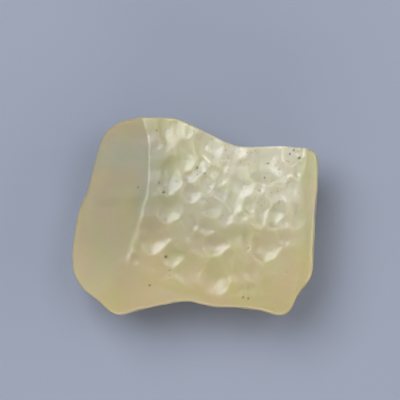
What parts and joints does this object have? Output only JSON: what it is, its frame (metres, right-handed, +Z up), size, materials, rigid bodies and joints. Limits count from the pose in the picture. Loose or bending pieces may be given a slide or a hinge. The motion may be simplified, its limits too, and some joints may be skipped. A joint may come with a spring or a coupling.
{
  "type": "libyan desert glass",
  "caption": "Natural desert glass stone: a pale yellow, sand-frosted tablet with a scoured, pitted upper face, one smooth broken side and a rounded underside.",
  "frame": {"origin": "on the resting surface, under the middle of the stone's bounding box", "axes": "+X along the longest side, away from the smooth broken face; +Y towards the back edge; +Z up, out of the pitted face"},
  "size_m": [0.043, 0.0344, 0.0158],
  "materials": {
    "desert_glass": "pale yellow, milky, see-through natural glass with a frosted, semi-gloss sand-worn skin"
  },
  "bodies": {
    "root": {"desert_glass": "desert_glass"}
  },
  "joints": []
}
